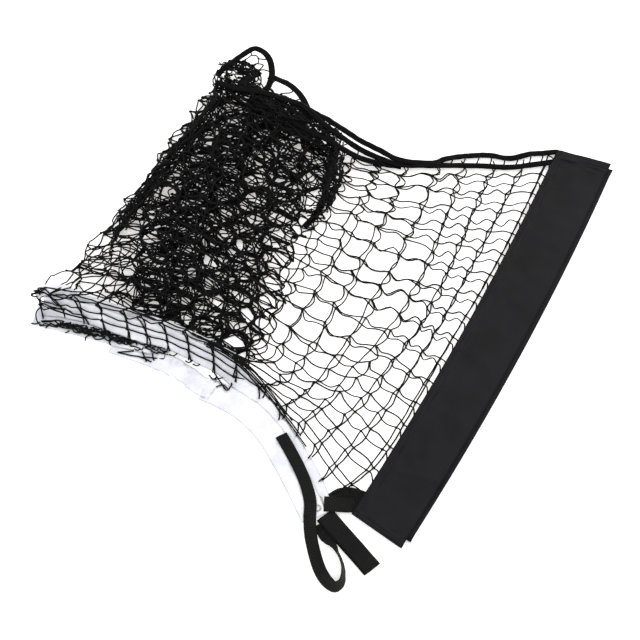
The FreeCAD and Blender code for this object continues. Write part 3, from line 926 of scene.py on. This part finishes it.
def make_bundles():
    """Netting rolled up so tightly that only its twines' run can be told."""
    stations = 22
    for seed, (name, (route, reach, rise, count)) in enumerate(BUNDLES.items()):
        random = np.random.default_rng(70 + seed)
        lines = []
        for _ in range(count):
            first, last = sorted(random.uniform(0, 1, 2))
            if last - first < 0.25:
                first, last = max(0, first - 0.2), min(1, last + 0.2)
            line = at_shares(np.array(route) * MM, np.linspace(first, last, stations))
            offset = random.uniform(-reach, reach) + np.cumsum(random.normal(size=stations)) * reach * 0.12
            forward = unit(np.gradient(line[:, :2], axis=0))
            left = np.stack([-forward[:, 1], forward[:, 0]], 1)
            line[:, :2] += left * np.clip(offset, -reach, reach)[:, None]
            line += random.normal(size=(stations, 3)) * [0.0022, 0.0022, 0.0008]
            line[:, 2] += rise * random.uniform(-0.3, 1) * (1 - (offset.mean() / reach) ** 2)
            lines.append(line)
        lines = curve_through(np.array(lines), 3)
        lines[..., 2] = np.maximum(lines[..., 2], TWINE)
        piece = new_object(name, TWINE_BLACK, *tubes(lines, TWINE))
        ride("net", "net_twine", piece)


def make_edge_cords():
    """Twines that the net's edge draws together along the headband, from the pile to the straps."""
    stations = 16
    random = np.random.default_rng(90)
    lines = []
    for first, last, share in EDGE_CORDS:
        distances = np.linspace(first, last, stations)
        wander = np.cumsum(random.normal(size=stations)) * 0.012
        shares = share + wander - np.linspace(wander[0], wander[-1], stations)
        line = band_face(distances, shares, 0.0024)
        line[:, 2] = np.maximum(line[:, 2], 0.0050)
        lines.append(line)
    tied = tubes(curve_through(np.array(lines), 5), TWINE)
    piece = new_object("netting_edge_cords", TWINE_BLACK, *tied)
    ride("net", "net_twine", piece)


def make_side_cords(name, knots, height, start, length):
    """Short twines from the net's side cord to the sleeve's seam."""
    lines = []
    for knot in knots[1:]:
        along = float(np.dot(knot - start, ALONG)) - 0.019
        if 0.004 < along < length - 0.004:
            end = sleeve_place(along, 0.003, height, start, length)
            middle = (knot + end) / 2 + ALONG * 0.006 + UP * 0.0015
            lines.append(np.array([knot, middle, end]))
    piece = new_object(name, TWINE_BLACK, *tubes(curve_through(np.array(lines), 5), TWINE))
    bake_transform(piece)


def make_lacing():
    """Short twines across the gap between the two halves' tapes, where they lie side by side."""
    near = curve_through(metres(TOP_TAPE), ROUTE_STEPS)
    far = curve_through(metres(FAR_TAPE), ROUTE_STEPS)
    lines = []
    for x in np.arange(0.19, 0.39, 0.0225):
        low = near[np.argmin(np.abs(near[:, 0] - x))]
        high = far[np.argmin(np.abs(far[:, 0] - x - 0.006))]
        lines.append(np.array([low, (low + high) / 2 + [0.0015, 0, 0.0004], high]))
    vertices, faces, _ = tubes(curve_through(np.array(lines), 4), TWINE)
    piece = new_object("tape_lacing", TWINE_BLACK, vertices, faces)
    ride("net", "net_twine", piece)


def make_headband():
    """The white headband's runs, folded and stacked under the net's end."""
    jobs = [
        ("headband_top", TOP_RUN, TOP_RUN_WIDTH, 0.0008, "headband_top_run_b"),
        ("headband_end", END_RUN, HEADBAND_WIDTH, 0.0004, "headband_end_run_a"),
        ("headband_lower", LOWER_RUN, HEADBAND_WIDTH, 0.0008, "headband_lower_run"),
        ("headband_third", THIRD_RUN, HEADBAND_WIDTH, 0.0004, "headband_third_run"),
        ("headband_inner", INNER_RUN, HEADBAND_WIDTH, 0.0010, "headband_inner_runs"),
        ("headband_tab", LEFT_TAB, TAB_WIDTH, 0.0010, "headband_left_fold"),
        ("headband_crumple", CRUMPLE, CRUMPLE_WIDTH, 0.0018, "headband_crumpled_fold"),
    ]
    for k, (name, route, width, wrinkle, cad) in enumerate(jobs):
        piece = strip(name, route, width, HEADBAND_THICKNESS, WHITE_CLOTH_PAINTED_SHADE, 20 + k, wrinkle, 14, 12)
        ride("net", "headband_cloth", piece)
        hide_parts(cad)
        length = travelled(metres(route))[-1]


def finish_eyelets():
    """Bare zinc rings, a little tarnished."""
    material, bsdf, tree = shader("eyelet_zinc", (0.4, 0.38, 0.35), 0.38, Metallic=1.0)
    noise = mottled(tree, bsdf, (0.16, 0.145, 0.13), (0.46, 0.44, 0.41), 180)
    bumped(tree, bsdf, noise.outputs["Fac"], 0.3, 0.0003)
    for name in ("eyelet_a", "eyelet_b"):
        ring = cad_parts[name]
        ring.data.materials.clear()
        ring.data.materials.append(material)


def make_tapes():
    """The narrow tape along the net's lower edge, with its loops over the pile."""
    jobs = {"bottom_tape_top": TOP_TAPE, "bottom_tape_far": FAR_TAPE, **TAPE_LOOPS}
    replaced = {
        "bottom_tape_top": ["bottom_tape_lower", "bottom_tape_low_strand"],
        "bottom_tape_far": ["bottom_tape_upper", "bottom_tape_loop_3"],
        "bottom_tape_loop_a": ["bottom_tape_loop_1"], "bottom_tape_loop_b": ["bottom_tape_loop_2"],
        "bottom_tape_curl": ["bottom_tape_curl"],
    }
    for k, (name, route) in enumerate(jobs.items()):
        piece = strip(name + "_cloth", route, TAPE_WIDTH, TAPE_THICKNESS, TAPE_BLACK, 60 + k, 0.0003, 6, 12)
        if name in ("bottom_tape_top", "bottom_tape_far"):
            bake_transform(piece)
        else:
            ride("net", "bottom_tape", piece)
        for cad in replaced.get(name, []):
            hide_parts(cad)


def make_straps():
    tail = [(-5, -376), (22, -410), (45, -438), (68, -467)]
    free_end = [
        (-75, -240), (-62, -264), (-48, -293), (-38, -317), (-31, -340), (-28, -360), (-29, -380),
    ]
    loop = [
        (-29, -379, 8.2, 0), (-28, -406, 6.5, 0), (-23, -434, 3.2, 0), (-15, -463, 3.4, 8),
        (-5, -484, 7.0, 26),
        (8, -497, 9.4, 48), (19, -492, 10.6, 62), (23, -475, 11.2, 70), (20, -456, 11.0, 70),
        (11, -437, 10.2, 62),
        (3, -424, 5.9, 30), (-1, -416, 2.3, 8), (-6, -408, 1.2, 0), (-14, -391, 1.2, 0),
    ]
    connector_a = [(-7, -359, 7.4, 0), (15, -360, 7.2, 0), (34, -361, 6.8, 0), (50, -361, 6.2, 0)]
    connector_b = [(4, -348, 3.6, 0), (20, -340, 4.6, 14), (38, -340, 4.8, 14), (58, -346, 4.0, 0)]
    upper_tail = [(x, y, 5.3, 0) for x, y in tail]
    lower_tail = [(x - 2, y - 1, 3.2, 0) for x, y in tail]
    free_end = [(x, y, 8.2, 0) for x, y in free_end]
    jobs = [
        ("tail_strap_top", upper_tail, TAIL_WIDTH, "tail_strap_upper", "tail_strap_upper"),
        ("tail_strap_under", lower_tail, TAIL_WIDTH, "tail_strap_lower", "tail_strap_lower"),
        ("long_strap_end", free_end, LONG_STRAP_WIDTH, "long_strap_end", "long_strap_free_end"),
        ("long_strap", loop, LONG_STRAP_WIDTH, "net", "long_strap_loop"),
        ("connector_a", connector_a, 0.026, "net", "connector_strap_a"),
        ("connector_b", connector_b, 0.018, "net", "connector_strap_b"),
    ]
    for k, (name, route, width, body, cad) in enumerate(jobs):
        piece = strip(name, route, width, STRAP_THICKNESS, WEBBING, 80 + k, 0.0002, 12, 10)
        if name.startswith("connector"):
            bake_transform(piece)
        elif name == "tail_strap_top":
            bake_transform(piece)
        else:
            ride(body, "webbing", piece)
        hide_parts(cad)


def make_sleeves():
    for letter, start, length, bottom, seed in (
        ("a", SEAM_START, SLEEVE_LENGTH, 0.0069, 11), ("b", SEAM_B_START, SLEEVE_B_LENGTH, 0.0008, 13),
    ):
        body = "sleeve_" + letter
        piece, thread = make_sleeve(body, start, length, bottom, seed)
        ride(body, "sleeve_cloth", piece, thread)
        cads = [f"{body}_{part}" for part in ("front_panel", "back_panel", "outer_fold", "seam_binding")]
        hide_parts(*cads)


def stage_and_lights():
    bpy.ops.mesh.primitive_plane_add(size=14)
    floor = bpy.context.object
    floor.name = "floor"
    material, bsdf, tree = shader("floor_white", (0.93, 0.93, 0.93), 0.9, Specular_IOR_Level=0.1)
    mottled(tree, bsdf, (0.925, 0.925, 0.925), (0.935, 0.935, 0.935), 3)
    bsdf.inputs["Emission Color"].default_value = (1, 0.98, 0.965, 1)
    bsdf.inputs["Emission Strength"].default_value = 0.38
    floor.data.materials.append(material)
    world = bpy.data.worlds.new("studio")
    bpy.context.scene.world = world
    world.use_nodes = True
    world.node_tree.nodes["Background"].inputs["Color"].default_value = (1, 1, 1, 1)
    world.node_tree.nodes["Background"].inputs["Strength"].default_value = 1.15
    for name, place, size, power, colour in (
        ("key", (1.6, 1.5, 2.4), 1.6, 52, (1, 0.985, 0.96)),
        ("fill", (-2.0, -1.2, 2.2), 2.2, 22, (0.96, 0.98, 1)),
    ):
        data = bpy.data.lights.new(name, "AREA")
        data.size = size
        data.energy = power
        data.color = colour
        lamp = bpy.data.objects.new(name, data)
        lamp.location = place
        lamp.rotation_euler = facing(-np.array(place))
        bpy.context.collection.objects.link(lamp)


def facing(direction):
    """Rotation that points a lamp or a camera in a direction."""
    return Vector(direction.tolist()).to_track_quat("-Z", "Y").to_euler()


def camera():
    """Looks down at sixty degrees from the strap side, from three metres."""
    data = bpy.data.cameras.new("camera")
    data.sensor_width = 36
    data.lens = 102
    made = bpy.data.objects.new("camera", data)
    elevation, away = math.radians(60), 3.0
    target = np.array([-0.013, -0.024, 0])
    back = np.array([0, -math.cos(elevation), math.sin(elevation)])
    made.location = target + away * back
    made.rotation_euler = facing(-back)
    bpy.context.collection.objects.link(made)
    bpy.context.scene.camera = made


camera()
stage_and_lights()
bpy.context.scene.view_settings.view_transform = "Standard"
knots = make_net()
make_loose_ends()
make_bundles()
make_edge_cords()
make_side_cords("side_cords_a", knots[0], 0.0100, SEAM_START, SLEEVE_LENGTH)
make_side_cords("side_cords_b", knots[-1], 0.0032, SEAM_B_START, SLEEVE_B_LENGTH)
make_headband()
finish_eyelets()
make_lacing()
make_tapes()
make_straps()
make_sleeves()
